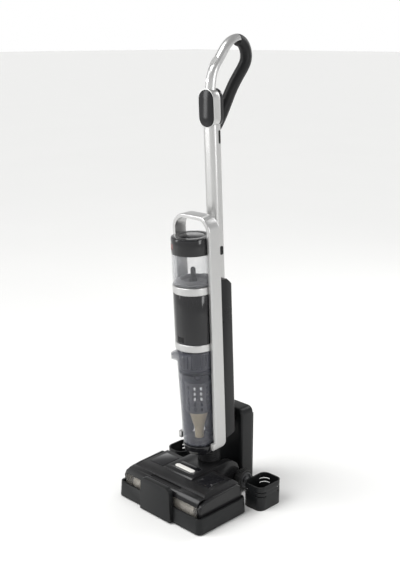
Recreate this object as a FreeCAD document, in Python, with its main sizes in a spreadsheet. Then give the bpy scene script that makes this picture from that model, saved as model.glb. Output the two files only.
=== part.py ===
import FreeCAD, Part
import math
import os

import Sketcher
from FreeCAD import Placement, Rotation, Vector

# A stick type wet and dry floor scrubber parked in its charging dock, in millimetres.
# Three frames are used.
#   dock frame:    y = 0 at the front of the dock's tray, x = 0 in the middle, z = 0 on the floor.
#   machine frame: origin on the neck's pitch axis, z along the leaning body, y to the back.
#   row frame:     the dock frame moved along y so that the whole object's box is centred on the origin.

SIZES = {
    # whole object
    "row_origin_y": 147.705,
    # dock tray
    "tray_width": 280.0,
    "tray_depth": 160.0,
    "tray_height": 40.0,
    "tray_floor": 6.0,
    "tray_wall": 4.0,
    "tray_corner": 16.0,
    "foot_height": 3.0,
    "panel_width": 104.0,
    "panel_height": 86.0,
    "panel_proud": 8.0,
    # dock tower
    "tower_width": 90.0,
    "tower_front": 242.0,
    "tower_rear": 288.0,
    "tower_height": 205.0,
    "tower_wall": 2.5,
    # baskets
    "basket_inner": 106.0,
    "basket_width": 58.0,
    "basket_front": 180.0,
    "basket_depth": 78.0,
    "basket_height": 60.0,
    "basket_wall": 2.0,
    # head
    "head_half_width": 130.0,
    "roller_radius": 24.0,
    "roller_y": 44.0,
    "roller_z": 37.0,
    "roller_length": 232.0,
    "cap_thickness": 9.0,
    "wheel_radius": 25.0,
    "wheel_width": 19.5,
    "wheel_inner": 48.0,
    "wheel_y": 236.0,
    "wheel_z": 29.0,
    "motor_y": 108.0,
    "motor_z": 52.0,
    # neck
    "neck_y": 175.0,
    "neck_z": 80.0,
    "neck_radius": 27.0,
    "pivot_drop": 18.0,
    "pivot_y": 175.910665,
    "pivot_z": 62.023051,
    "lean": 2.9,
    # tanks and housing, in the machine frame
    "tank_y": -30.0,
    "tank_radius": 48.0,
    "tank_wall": 2.0,
    "base_bottom": 41.0,
    "dirty_bottom": 67.0,
    "dirty_top": 310.0,
    "housing_bottom": 328.0,
    "housing_top": 446.0,
    "clean_bottom": 464.4,
    "clean_top": 538.0,
    "lid_top": 576.0,
    # column, in the machine frame
    "column_half_width": 37.0,
    "column_front": 20.0,
    "column_rear": 62.0,
    "column_bottom": 59.0,
    "column_top": 464.0,
    # silver side frame
    "arch_half_width": 54.5,
    "arch_top": 623.0,
    "arch_bottom": 62.0,
    "arch_y": -16.0,
    "arch_depth": 34.0,
    "arch_thickness": 9.0,
    # stick and handle
    "stick_y": 50.0,
    "stick_radius": 18.5,
    "stick_bottom": 420.0,
    "stick_top": 815.0,
    "pod_bottom": 807.0,
    "pod_top": 893.0,
    "pod_half_width": 24.0,
    "pod_front": 30.0,
    "pod_rear": 60.0,
    "grip_radius": 13.5,
    "running_gap": 0.5,
}

OUT = "parts"
os.makedirs(OUT, exist_ok=True)
doc = FreeCAD.newDocument("floor_scrubber")
sheet = doc.addObject("Spreadsheet::Sheet", "Dimensions")
for row, (alias, number) in enumerate(SIZES.items(), start=1):
    sheet.set("A%d" % row, alias)
    sheet.set("B%d" % row, str(number))
    sheet.setAlias("B%d" % row, alias)
doc.recompute()


class Size:
    """A number that keeps the spreadsheet expression it came from."""

    def __init__(self, text, number):
        self.text = text
        self.number = number

    def __add__(self, other):
        return Size("(%s + %s)" % (self.text, text_of(other)), self.number + number_of(other))

    def __sub__(self, other):
        return Size("(%s - %s)" % (self.text, text_of(other)), self.number - number_of(other))

    def __mul__(self, other):
        return Size("(%s * %s)" % (self.text, text_of(other)), self.number * number_of(other))

    def __truediv__(self, other):
        return Size("(%s / %s)" % (self.text, text_of(other)), self.number / number_of(other))

    def __neg__(self):
        return Size("(0 - %s)" % self.text, -self.number)

    def __radd__(self, other):
        return Size("(%s + %s)" % (text_of(other), self.text), number_of(other) + self.number)

    def __rsub__(self, other):
        return Size("(%s - %s)" % (text_of(other), self.text), number_of(other) - self.number)

    def __rmul__(self, other):
        return self * other


def text_of(size):
    return size.text if isinstance(size, Size) else repr(float(size))


def number_of(size):
    return size.number if isinstance(size, Size) else float(size)


def bind(item, prop, size):
    """Sets a property, by expression where the size comes from the sheet."""
    if isinstance(size, Size):
        item.setExpression(prop, size.text)
    else:
        setattr(item, prop, size)


class Sheet:
    """Gives each named size as an attribute."""

    def __getattr__(self, alias):
        return Size("Dimensions.%s" % alias, SIZES[alias])


S = Sheet()

DOCK = Placement(Vector(0, -SIZES["row_origin_y"], 0), Rotation())
NECK = Vector(0, SIZES["neck_y"] - SIZES["row_origin_y"], SIZES["neck_z"])
MACHINE = Placement(NECK, Rotation(Vector(1, 0, 0), SIZES["lean"]))

nodes = {}
counter = [0]


def unique(kind):
    counter[0] += 1
    return "%s_%03d" % (kind, counter[0])


def finish(item, node, frame):
    """Names the finished sub-part and stands it in its frame."""
    item.Label = node
    for axis in "xyz":
        item.setExpression(".Placement.Base.%s" % axis, None)
    item.Placement = frame.multiply(item.Placement)
    nodes[node] = item
    return item


# ---- solid primitives and booleans ----

def place(item, x, y, z, rotation=None):
    item.Placement = Placement(Vector(number_of(x), number_of(y), number_of(z)), rotation or Rotation())
    for axis, size in (("x", x), ("y", y), ("z", z)):
        if isinstance(size, Size):
            item.setExpression(".Placement.Base.%s" % axis, size.text)
    return item


def box(x0, x1, y0, y1, z0, z1):
    """A box between two corners."""
    item = doc.addObject("Part::Box", unique("Box"))
    bind(item, "Length", x1 - x0)
    bind(item, "Width", y1 - y0)
    bind(item, "Height", z1 - z0)
    return place(item, x0, y0, z0)


AXIS_TURNS = {
    "z": Rotation(),
    "x": Rotation(Vector(0, 1, 0), 90),
    "y": Rotation(Vector(1, 0, 0), -90),
}


def cylinder(radius, start, end, across, axis="z"):
    """A cylinder along an axis from start to end, its centre at the two other coordinates."""
    item = doc.addObject("Part::Cylinder", unique("Cylinder"))
    bind(item, "Radius", radius)
    bind(item, "Height", end - start)
    a, b = across
    spots = {"z": (a, b, start), "x": (start, a, b), "y": (a, start, b)}
    return place(item, *spots[axis], AXIS_TURNS[axis])


def cone(radius_start, radius_end, start, end, across, axis="z"):
    item = doc.addObject("Part::Cone", unique("Cone"))
    bind(item, "Radius1", radius_start)
    bind(item, "Radius2", radius_end)
    bind(item, "Height", end - start)
    a, b = across
    spots = {"z": (a, b, start), "x": (start, a, b), "y": (a, start, b)}
    return place(item, *spots[axis], AXIS_TURNS[axis])


def torus(ring_radius, tube_radius, x, y, z, axis="z"):
    item = doc.addObject("Part::Torus", unique("Torus"))
    bind(item, "Radius1", ring_radius)
    bind(item, "Radius2", tube_radius)
    return place(item, x, y, z, AXIS_TURNS[axis])


def fuse(*pieces):
    item = doc.addObject("Part::MultiFuse", unique("Fuse"))
    item.Shapes = list(pieces)
    item.Refine = True
    return item


def cut(base, *tools):
    tool = tools[0] if len(tools) == 1 else fuse(*tools)
    item = doc.addObject("Part::Cut", unique("Cut"))
    item.Base = base
    item.Tool = tool
    item.Refine = True
    return item


def common(*pieces):
    item = doc.addObject("Part::MultiCommon", unique("Common"))
    item.Shapes = list(pieces)
    return item


def group(*pieces):
    """Separate solids kept together as one node."""
    item = doc.addObject("Part::Compound", unique("Group"))
    item.Links = list(pieces)
    return item


def mirrored(source, x_plane=0.0):
    item = doc.addObject("Part::Mirroring", unique("Mirror"))
    item.Source = source
    item.Base = Vector(x_plane, 0, 0)
    item.Normal = Vector(1, 0, 0)
    return item


def rounded(base, radius, chosen):
    """Fillets the edges for which chosen(edge) is true."""
    doc.recompute()
    item = doc.addObject("Part::Fillet", unique("Fillet"))
    item.Base = base
    item.Edges = [
        (number, radius, radius)
        for number, edge in enumerate(base.Shape.Edges, start=1)
        if chosen(edge)
    ]
    return item


def along(axis, least=1.0):
    """Chooses straight edges that run along an axis and are at least this long."""
    wanted = {"x": Vector(1, 0, 0), "y": Vector(0, 1, 0), "z": Vector(0, 0, 1)}[axis]

    def chosen(edge):
        if edge.Curve.TypeId != "Part::GeomLine" or edge.Length < least:
            return False
        return abs(abs(edge.tangentAt(edge.FirstParameter).dot(wanted)) - 1) < 1e-4

    return chosen


# ---- sketch based bodies ----

PLANES = {"xy": "XY_Plane", "xz": "XZ_Plane", "yz": "YZ_Plane"}


def new_body():
    return doc.addObject("PartDesign::Body", unique("Body"))


def new_sketch(body, plane, offset=0.0):
    sketch = body.newObject("Sketcher::SketchObject", unique("Sketch"))
    for feature in body.Origin.OriginFeatures:
        if feature.Role == PLANES[plane]:
            sketch.AttachmentSupport = [(feature, "")]
    sketch.MapMode = "FlatFace"
    if isinstance(offset, Size) or offset:
        sketch.AttachmentOffset = Placement(Vector(0, 0, number_of(offset)), Rotation())
        if isinstance(offset, Size):
            sketch.setExpression(".AttachmentOffset.Base.z", offset.text)
    return sketch


def fix_point(sketch, geometry, end, x, y):
    """Holds one point of the sketch at its place."""
    for kind, size in (("DistanceX", x), ("DistanceY", y)):
        number = number_of(size)
        if abs(number) < 1e-9:
            axis = -2 if kind == "DistanceX" else -1
            sketch.addConstraint(Sketcher.Constraint("PointOnObject", geometry, end, axis))
            continue
        index = sketch.addConstraint(Sketcher.Constraint(kind, -1, 1, geometry, end, number))
        if isinstance(size, Size):
            sketch.setExpression("Constraints[%d]" % index, size.text)


def polygon(sketch, points):
    """Adds a closed outline of straight lines, each corner held at its place."""
    spots = [Vector(number_of(x), number_of(y), 0) for x, y in points]
    first = sketch.GeometryCount
    count = len(spots)
    for i in range(count):
        sketch.addGeometry(Part.LineSegment(spots[i], spots[(i + 1) % count]), False)
    for i in range(count):
        following = first + (i + 1) % count
        sketch.addConstraint(Sketcher.Constraint("Coincident", first + i, 2, following, 1))
    for i, (x, y) in enumerate(points):
        fix_point(sketch, first + i, 1, x, y)


def circle(sketch, x, y, radius):
    spot = Vector(number_of(x), number_of(y), 0)
    index = sketch.addGeometry(Part.Circle(spot, Vector(0, 0, 1), number_of(radius)), False)
    fix_point(sketch, index, 3, x, y)
    at = sketch.addConstraint(Sketcher.Constraint("Radius", index, number_of(radius)))
    if isinstance(radius, Size):
        sketch.setExpression("Constraints[%d]" % at, radius.text)


def rectangle(sketch, x0, x1, y0, y1):
    polygon(sketch, [(x0, y0), (x1, y0), (x1, y1), (x0, y1)])


def pad(body, sketch, length, midplane=False, reverse=False, taper=0.0):
    feature = body.newObject("PartDesign::Pad", unique("Pad"))
    feature.Profile = sketch
    bind(feature, "Length", length)
    feature.SideType = "Symmetric" if midplane else "One side"
    feature.Reversed = reverse
    feature.TaperAngle = taper
    doc.recompute()
    return feature


def pocket(body, sketch, length, midplane=False, reverse=False, taper=0.0):
    """Cuts a pocket and makes sure that it removed something."""
    before = body.Shape.Volume
    feature = body.newObject("PartDesign::Pocket", unique("Pocket"))
    feature.Profile = sketch
    bind(feature, "Length", length)
    feature.SideType = "Symmetric" if midplane else "One side"
    feature.Reversed = reverse
    feature.TaperAngle = taper
    doc.recompute()
    if body.Shape.Volume > before - 1e-3:
        raise RuntimeError("a pocket of %s removed nothing" % body.Name)
    return feature


def turn(body, sketch, axis="V_Axis"):
    feature = body.newObject("PartDesign::Revolution", unique("Turn"))
    feature.Profile = sketch
    feature.ReferenceAxis = (sketch, [axis])
    feature.Angle = 360.0
    doc.recompute()
    return feature


def fillet(body, radius, chosen):
    doc.recompute()
    before = body.Tip
    names = [
        "Edge%d" % number
        for number, edge in enumerate(before.Shape.Edges, start=1)
        if chosen(edge)
    ]
    feature = body.newObject("PartDesign::Fillet", unique("Round"))
    feature.Base = (before, names)
    feature.Radius = radius
    body.Tip = feature
    doc.recompute()
    return feature


def revolved(profile, x=0.0, y=0.0):
    """A turned body about a vertical axis, from (radius, height) pairs."""
    body = new_body()
    sketch = new_sketch(body, "xz")
    polygon(sketch, profile)
    turn(body, sketch)
    return place(body, x, y, 0.0)


def extruded(plane, points, start, length, taper=0.0):
    """A straight prism that starts at a coordinate on the plane's axis and runs up that axis."""
    body = new_body()
    backwards = plane == "xz"
    sketch = new_sketch(body, plane, -start if backwards else start)
    polygon(sketch, points)
    pad(body, sketch, length, reverse=backwards, taper=taper)
    return body


# ---- dock ----

def make_tray():
    half = S.tray_width / 2
    low = S.foot_height
    body = new_body()
    outline = new_sketch(body, "xy", low)
    rectangle(outline, -half, half, 0.0, S.tray_depth)
    pad(body, outline, S.tray_height - low, taper=-3.0)
    fillet(body, 14.0, lambda e: e.Length > 20 and e.BoundBox.ZLength > 30)
    hollow = new_sketch(body, "xy", S.tray_height)
    rectangle(hollow, -half + 8, half - 8, 7.0, S.tray_depth - 7)
    pocket(body, hollow, S.tray_height - low - S.tray_floor)
    rear_gap = box(-half + 30, half - 30, S.tray_depth - 12, S.tray_depth + 2, low + S.tray_floor, 45.0)
    half_tongue = S.tower_width / 2
    tongue = box(-half_tongue, half_tongue, S.tray_depth - 12, S.tower_rear, low, low + S.tray_floor)
    half_panel = S.panel_width / 2
    panel = extruded("xz", [
        (-half_panel, low), (half_panel, low),
        (half_panel - 4, S.panel_height), (-half_panel + 4, S.panel_height),
    ], -S.panel_proud, 13.0)
    panel = rounded(panel, 14.0, lambda e: along("y", 12.0)(e) and e.BoundBox.ZMin > 60)
    finish(fuse(cut(body, rear_gap), tongue, panel), "dock_tray", DOCK)


def make_tower():
    half = S.tower_width / 2
    wall = S.tower_wall
    low = S.foot_height + S.tray_floor
    rear = S.tower_rear - 3
    outer = box(-half, half, S.tower_front, rear, low, S.tower_height)
    outer = rounded(outer, 16.0, lambda e: along("y")(e) and e.BoundBox.ZMin > 150)
    outer = rounded(outer, 6.0, lambda e: e.BoundBox.YLength < 0.1 and e.BoundBox.ZMax > 150)
    inner = box(-half + wall, half - wall, S.tower_front + 6, S.tower_rear, low + 3, S.tower_height - 19)
    channel = box(-half + 12, half - 12, S.tower_front - 2, S.tower_front + 2.4, 30.0, S.tower_height - 22)
    finish(cut(outer, inner, channel), "dock_tower", DOCK)
    half_back = half - wall - 0.4
    back = box(-half_back, half_back, S.tower_rear - 2.8, S.tower_rear, low + 3.4, S.tower_height - 19.4)
    hole = box(9.7, 30.3, S.tower_rear - 4, S.tower_rear + 1, 17.7, 30.3)
    slots = [
        box(-30.0, 30.0, S.tower_rear - 4, S.tower_rear + 1, z, z + 3)
        for z in (60.0, 68.0, 76.0, 84.0, 92.0)
    ]
    finish(cut(back, hole, *slots), "dock_tower_back", DOCK)
    shell = box(10.0, 30.0, S.tower_rear - 22, S.tower_rear + 0.4, 18.0, 30.0)
    mouth = cylinder(4.0, S.tower_rear - 12, S.tower_rear + 1, (20.0, 24.0), "y")
    pin = cylinder(0.9, S.tower_rear - 14, S.tower_rear - 2, (20.0, 24.0), "y")
    finish(fuse(cut(shell, mouth), pin), "dc_inlet", DOCK)


def make_dock_small_parts():
    spots = [(-122.0, 18.0), (122.0, 18.0), (-122.0, 142.0), (122.0, 142.0), (-36.0, 278.0), (36.0, 278.0)]
    feet = [cylinder(7.0, 0.0, S.foot_height, spot) for spot in spots]
    finish(group(*feet), "dock_feet", DOCK)
    low = S.foot_height + S.tray_floor
    pins = [
        fuse(cylinder(3.5, low, low + 1.5, (x, 214.0)), cylinder(2.0, low, low + 4, (x, 214.0)))
        for x in (-12.0, 12.0)
    ]
    finish(group(*pins), "dock_contacts", DOCK)


def make_basket(side):
    """An open holder with two rows of slots, standing beside the tower."""
    wall = S.basket_wall
    x0, x1 = S.basket_inner, S.basket_inner + S.basket_width
    y0, y1 = S.basket_front, S.basket_front + S.basket_depth
    corner = 16.0 if side > 0 else 24.0
    shell = rounded(box(x0, x1, y0, y1, 0.0, S.basket_height), corner, along("z"))
    inside = box(x0 + wall, x1 - wall, y0 + wall, y1 - wall, 3.0, S.basket_height + 2)
    inside = rounded(inside, corner - 2, along("z"))
    slots = []
    for level in (44.0, 34.0):
        for y in (y0 + 9, y1 - 9):
            slots.append(box(x0 - 1, x0 + 20, y - 10, y + 10, level, level + 3.2))
            slots.append(box(x1 - 20, x1 + 1, y - 10, y + 10, level, level + 3.2))
    basket = cut(shell, inside, *slots)
    if side < 0:
        basket = mirrored(basket)
    finish(basket, "basket_right" if side > 0 else "basket_left", DOCK)


# ---- cleaning head ----

def make_chassis():
    """The open-fronted base of the head with its rear box, side walls and wheel ears."""
    half = S.head_half_width - S.cap_thickness - 0.4
    floor = fuse(box(-half, half, 76.0, 150.0, 14.0, 18.0), box(-44.0, 44.0, 148.0, 226.0, 14.0, 18.0))
    sides = [box(x - 1.5, x + 1.5, 72.0, 140.0, 18.0, 58.0) for x in (-half + 1.5, half - 1.5)]
    arch = cylinder(32.0, -half, half, (S.roller_y, S.roller_z), "x")
    arch_hole = cylinder(29.5, -half - 1, half + 1, (S.roller_y, S.roller_z), "x")
    front_cut = box(-half - 2, half + 2, -10.0, S.roller_y + 14, -10.0, 90.0)
    low_cut = box(-half - 2, half + 2, -10.0, 90.0, -10.0, 13.0)
    hood = cut(arch, arch_hole, front_cut, low_cut)
    ends = [box(x - 1.5, x + 1.5, 22.0, 76.0, 16.0, 58.0) for x in (-half + 1.5, half - 1.5)]
    rear = box(-44.0, 44.0, 222.0, 226.0, 14.0, 60.0)
    ribs = [box(x - 3, x + 3, 196.0, 232.0, 14.0, 47.7) for x in (-41.5, 41.5)]
    ears = [cylinder(5.0, x - 3, x + 3, (S.wheel_y, S.wheel_z), "x") for x in (-41.5, 41.5)]
    walls = [box(x - 1.5, x + 1.5, 140.0, 222.0, 18.0, 59.7) for x in (-42.5, 42.5)]
    axles = [cylinder(3.0, x, x + 24.0, (S.wheel_y, S.wheel_z), "x") for x in (-62.0, 38.0)]
    pivot = (S.pivot_y, S.pivot_z)
    bearings = [
        fuse(box(x - 3, x + 3, 161.0, 190.0, 16.0, S.pivot_z), cylinder(14.5, x - 3, x + 3, pivot, "x"))
        for x in (-38.0, 38.0)
    ]
    bores = [
        cylinder(8.05, -60.0, 60.0, pivot, "x"),
        cylinder(6.05, -half - 5, half + 5, (S.roller_y, S.roller_z), "x"),
    ]
    mount = box(60.0, 112.0, 84.0, 132.0, 17.0, 28.0)
    solid = fuse(floor, *sides, hood, *ends, rear, *ribs, *ears, *axles, *walls, *bearings, mount)
    pulley_bay = box(101.0, 117.3, 60.0, 140.0, 19.0, 80.0)
    motor_bay = cylinder(19.3, 55.0, 101.0, (S.motor_y, S.motor_z), "x")
    finish(cut(solid, *bores, pulley_bay, motor_bay), "head_chassis", DOCK)


def make_cover():
    """The painted top of the head with its raised middle and the slot for the neck."""
    half = S.head_half_width - S.cap_thickness - 0.4
    top = [(37.0, 74.0), (44.0, 79.0), (60.0, 81.5), (138.0, 83.0), (149.0, 75.0), (152.0, 60.0)]
    under = [
        (148.5, 60.0), (145.5, 73.0), (137.0, 79.5), (60.0, 78.0), (46.0, 75.5), (41.0, 72.0), (41.0, 66.0),
    ]
    wide = extruded("yz", [(37.0, 66.0)] + top + under, -half, half * 2)
    blocks = [extruded("yz", [(37.0, 66.0)] + top[:-1] + [(150.5, 68.0), (145.0, 66.0)], x, 18.0)
              for x in (-half, half - 18)]
    bevels = []
    for side in (-1, 1):
        corners = [(104.0, 90.0), (124.0, 90.0), (124.0, 69.0), (121.5, 70.5), (109.0, 84.0)]
        corners = [(side * x, z) for x, z in corners]
        bevels.append(extruded("xz", corners if side > 0 else corners[::-1], 30.0, 130.0))
    middle_top = [
        (66.0, 79.0), (71.0, 85.0), (80.0, 87.0), (190.0, 88.0), (208.0, 84.0), (224.0, 72.0), (231.0, 58.0),
    ]
    middle = extruded("yz", middle_top + [
        (231.0, 48.0), (227.8, 48.0), (227.8, 57.0), (221.5, 70.0), (206.0, 81.0),
        (190.0, 84.6), (82.0, 83.6), (74.0, 82.0), (71.0, 79.0),
    ], -47.0, 94.0)
    plan = rounded(box(-47.0, 47.0, 66.0, 240.0, 40.0, 95.0), 8.0, along("z"))
    middle = common(middle, plan)
    cheeks = [
        extruded("yz", [(72.0, 79.0)] + [(y - 1.5 if y > 200 else y, z - 2.5) for y, z in middle_top[2:]] + [
            (229.5, 48.0), (140.0, 48.0), (140.0, 78.0),
        ], x, 3.0)
        for x in (-47.0, 44.0)
    ]
    slot = box(-29.0, 29.0, S.neck_y, 240.0, 56.0, 130.0)
    front = cylinder(29.0, 56.0, 130.0, (0.0, S.neck_y))
    window = rounded(box(-31.4, 31.4, 84.1, 99.9, 78.0, 100.0), 7.2, along("z"))
    solid = fuse(wide, middle, *cheeks, *blocks)
    finish(cut(solid, slot, front, window, *bevels), "head_cover", DOCK)


def make_light_bar():
    bar = rounded(box(-31.0, 31.0, 84.5, 99.5, 78.0, 89.2), 6.8, along("z"))
    foot = box(-34.0, 34.0, 82.5, 102.0, 75.8, 78.3)
    finish(fuse(bar, foot), "head_light_bar", DOCK)


def make_roller_cover():
    """The removable front: a dark lip with its latch slot, and the clear window below it."""
    half = S.head_half_width - S.cap_thickness - 0.8
    lip = extruded("yz", [
        (11.0, 61.0), (13.5, 68.5), (21.0, 75.0), (36.5, 77.5),
        (36.5, 73.5), (23.0, 71.5), (17.5, 67.0), (15.0, 61.0),
    ], -half, half * 2)
    slot = rounded(box(-50.0, 50.0, 24.0, 34.0, 66.0, 95.0), 4.8, along("z"))
    finish(cut(lip, slot), "cover_lip", DOCK)
    window = extruded("yz", [
        (11.2, 60.7), (9.2, 54.0), (8.6, 42.0), (9.6, 32.0), (12.8, 22.0),
        (15.4, 22.8), (12.4, 32.0), (11.4, 42.0), (12.0, 53.0), (14.6, 60.7),
    ], -half, half * 2)
    finish(window, "roller_window", DOCK)
    latch = rounded(box(-49.5, 49.5, 24.5, 33.5, 68.5, 74.5), 4.3, along("z"))
    finish(latch, "cover_latch", DOCK)


def make_side_cap(side):
    inner = S.head_half_width - S.cap_thickness
    cap = extruded("yz", [
        (11.0, 56.0), (13.0, 38.0), (22.0, 26.0), (38.0, 21.0), (128.0, 26.0), (146.0, 34.0), (152.0, 50.0),
        (148.0, 68.0), (136.0, 77.0), (60.0, 74.0), (32.0, 71.0), (17.0, 66.0),
    ], inner, S.cap_thickness)
    fillet(cap, 4.0, lambda e: e.BoundBox.XLength < 0.1 and e.BoundBox.XMin > SIZES["head_half_width"] - 1)
    item = cap if side > 0 else mirrored(cap)
    finish(item, "side_cap_right" if side > 0 else "side_cap_left", DOCK)


def make_roller():
    half = S.roller_length / 2
    where = (S.roller_y, S.roller_z)
    tube = cut(cylinder(19.0, -half, half, where, "x"), cylinder(16.5, -half + 4, half - 4, where, "x"))
    ends = [cylinder(6.0, a, b, where, "x") for a, b in ((-half - 4, -half + 5), (half - 5, half + 4))]
    finish(fuse(tube, *ends), "roller_core", DOCK)
    core = cylinder(19.0, -half, half, where, "x")
    finish(cut(cylinder(S.roller_radius, -half + 8, 99.0, where, "x"), core), "roller_sleeve", DOCK)
    finish(cut(cylinder(22.0, 104.0, 110.0, where, "x"), core), "roller_pulley", DOCK)
    motor = (S.motor_y, S.motor_z)
    can = cylinder(19.0, 56.0, 96.0, motor, "x")
    collar = cylinder(9.0, 94.0, 99.0, motor, "x")
    finish(fuse(can, collar), "drive_motor", DOCK)
    shaft = cylinder(2.5, 99.6, 113.0, motor, "x")
    wheel = cylinder(8.0, 104.0, 110.0, motor, "x")
    finish(fuse(shaft, wheel), "motor_pulley", DOCK)


def make_belt():
    """A flat belt round the two pulleys: the hull of two circles less the hull of two smaller ones."""
    dy = SIZES["motor_y"] - SIZES["roller_y"]
    dz = SIZES["motor_z"] - SIZES["roller_z"]
    reach = math.hypot(dy, dz)
    lean = math.atan2(dz, dy)

    def loop(extra, x0, x1):
        big, small = 22.0 + extra, 8.0 + extra
        swing = math.acos((big - small) / reach)
        corners = []
        for turn_angle in (lean + swing, lean - swing):
            for centre_y, centre_z, radius in (
                (SIZES["roller_y"], SIZES["roller_z"], big), (SIZES["motor_y"], SIZES["motor_z"], small),
            ):
                out_y = radius * math.cos(turn_angle)
                out_z = radius * math.sin(turn_angle)
                corners.append((centre_y + out_y, centre_z + out_z))
        corners = [corners[0], corners[1], corners[3], corners[2]]
        web = extruded("yz", corners, x0, x1 - x0)
        return fuse(web, cylinder(big, x0, x1, (S.roller_y, S.roller_z), "x"),
                    cylinder(small, x0, x1, (S.motor_y, S.motor_z), "x"))

    finish(cut(loop(1.6, 104.5, 109.5), loop(0.06, 103.0, 111.0)), "drive_belt", DOCK)


def make_head_small_parts():
    blade = extruded("yz", [(76.5, 14.0), (79.0, 9.5), (81.0, 9.5), (80.5, 14.0)], -108.0, 216.0)
    finish(blade, "squeegee_blade", DOCK)
    mouth = box(-30.0, 30.0, 78.0, 150.0, 18.2, 36.0)
    inside = box(-27.5, 27.5, 70.0, 147.5, 20.5, 33.5)
    riser = box(-16.0, 16.0, 128.0, 150.0, 34.0, 58.0)
    riser_hole = box(-13.5, 13.5, 130.5, 147.5, 30.0, 60.0)
    finish(cut(fuse(mouth, riser), inside, riser_hole), "suction_duct", DOCK)


def make_wheel(side):
    inner = S.wheel_inner
    outer = S.wheel_inner + S.wheel_width
    where = (S.wheel_y, S.wheel_z)
    tyre_hole = cylinder(19.5, inner - 1, outer + 1, where, "x")
    tyre = cut(cylinder(S.wheel_radius, inner, outer, where, "x"), tyre_hole)
    tyre = rounded(tyre, 2.5, lambda e: e.Curve.TypeId == "Part::GeomCircle" and e.Curve.Radius > 24)
    grooves = []
    for i in range(24):
        angle = 2 * math.pi * i / 24
        groove = doc.addObject("Part::Box", unique("Groove"))
        groove.Length, groove.Width, groove.Height = 14.0, 1.6, 2.4
        spot = Vector(SIZES["wheel_inner"] + 2.7, SIZES["wheel_y"], SIZES["wheel_z"])
        turn_x = Rotation(Vector(1, 0, 0), math.degrees(angle))
        groove.Placement = Placement(spot + turn_x.multVec(Vector(0, -0.8, 23.6)), turn_x)
        grooves.append(groove)
    tyre = cut(tyre, *grooves)
    disc = cylinder(19.5, inner, outer, where, "x")
    boss = cylinder(9.0, outer - 4, outer + 2, where, "x")
    dish = cut(cylinder(15.5, outer - 2.5, outer + 1, where, "x"), boss)
    bore = cylinder(3.05, inner - 1, outer - 4, where, "x")
    hub = cut(disc, dish, bore)
    names = ("wheel_right_tyre", "wheel_right_hub") if side > 0 else ("wheel_left_tyre", "wheel_left_hub")
    for item, name in zip((tyre, hub), names):
        finish(item if side > 0 else mirrored(item), name, DOCK)


# ---- neck and main body, in the machine frame ----

def make_neck():
    drop = -S.pivot_drop
    barrel = cylinder(12.0, -34.4, 34.4, (0.0, drop), "x")
    pins = cylinder(8.0, -41.0, 41.0, (0.0, drop), "x")
    throat = cone(18.0, S.neck_radius, drop + 2, 0.0, (0.0, 0.0))
    tube = cylinder(S.neck_radius, 0.0, 38.0, (0.0, 0.0))
    spigot = cylinder(14.0, 38.0, 58.0, (0.0, 0.0))
    bore = cylinder(10.0, drop - 20, 60.0, (0.0, 0.0))
    grooves = [torus(S.neck_radius + 0.4, 1.0, 0.0, 0.0, z) for z in (16.0, 34.0)]
    finish(cut(fuse(barrel, pins, throat, tube, spigot), bore, *grooves), "neck_yoke", MACHINE)


def make_base():
    """The black cup that carries the tanks and turns on the neck's spigot."""
    cup = revolved([
        (0.0, S.base_bottom), (28.0, S.base_bottom), (36.0, 46.0), (39.0, 56.0), (39.5, S.dirty_bottom - 0.4),
        (0.0, S.dirty_bottom - 0.4),
    ], 0.0, S.tank_y)
    skirt = cylinder(22.0, S.base_bottom, 60.0, (0.0, 0.0))
    arms = extruded("yz", [
        (-20.0, 52.0), (28.0, 52.0), (28.0, 60.7), (23.9, 59.7), (22.2, 66.6), (-20.0, 66.6),
    ], -30.0, 60.0)
    side_arms = box(-49.8, 49.8, -24.0, -8.0, 58.0, 66.6)
    bore = cylinder(14.05, S.base_bottom - 2, 60.0, (0.0, 0.0))
    finish(cut(fuse(cup, skirt, arms, side_arms), bore), "body_base", MACHINE)


def stick_section(margin, z0, z1):
    """A prism of the stick's flattened round section, grown by a margin."""
    half_x = S.stick_radius + margin
    prism = box(-half_x, half_x, 46.0 - 15.5 - margin, 46.0 + 15.5 + margin, z0, z1)
    return rounded(prism, 13.0 + margin, along("z"))


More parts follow.
